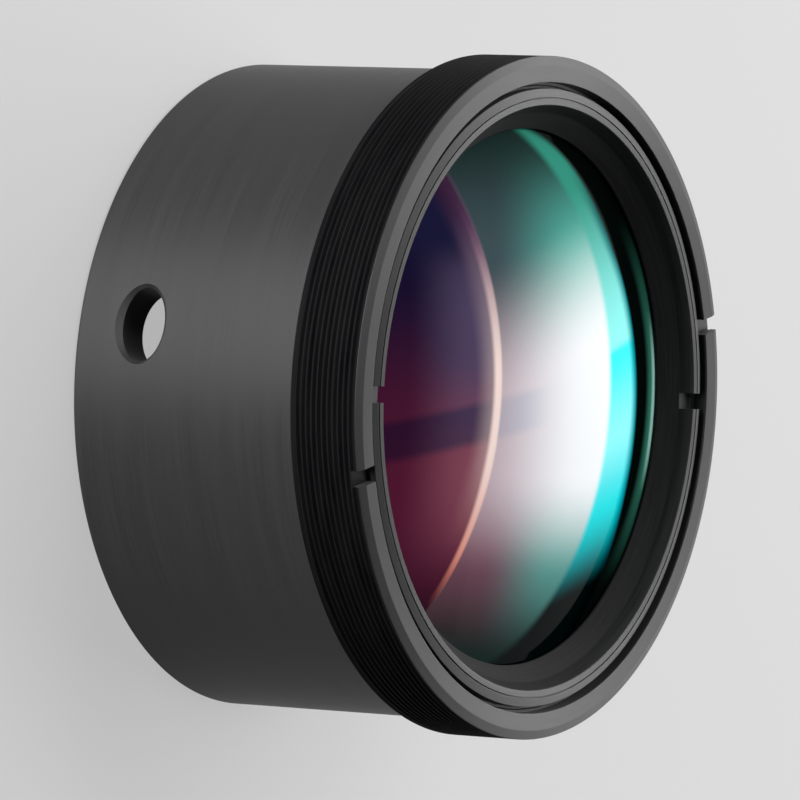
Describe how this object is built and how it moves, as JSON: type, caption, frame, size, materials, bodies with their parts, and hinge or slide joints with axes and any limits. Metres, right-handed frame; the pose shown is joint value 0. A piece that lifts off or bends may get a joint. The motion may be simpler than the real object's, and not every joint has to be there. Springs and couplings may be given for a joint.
{
  "type": "interferometer lens",
  "caption": "Interferometer lens in a black turned barrel, with a threaded front flange, spanner slots, slotted retaining rings and an open rear skirt with an oval window.",
  "frame": {"origin": "centre of the barrel's rear face, which is its lowest plane as it stands", "axes": "+Z along the optical axis towards the front element; -Y towards the side with the window; +X completes the right-handed frame"},
  "size_m": [0.112, 0.112, 0.057],
  "materials": {
    "black_anodise": "satin black anodise with fine turning marks",
    "coated_glass": "polished, with a broadband coating that reflects green and violet",
    "cushion_plastic": "thin black plastic washer",
    "seal_rubber": "black rubber"
  },
  "bodies": {
    "root": {"barrel": "black_anodise", "front_ring": "black_anodise", "rear_ring": "black_anodise", "element_spacer": "black_anodise", "crown_element": "coated_glass", "flint_element": "coated_glass", "rear_element": "coated_glass", "front_cushion": "cushion_plastic", "shoulder_cushion": "cushion_plastic", "rear_seat_cushion": "cushion_plastic", "rear_ring_cushion": "cushion_plastic", "crown_edge_seal": "seal_rubber", "rear_edge_seal": "seal_rubber"}
  },
  "joints": []
}
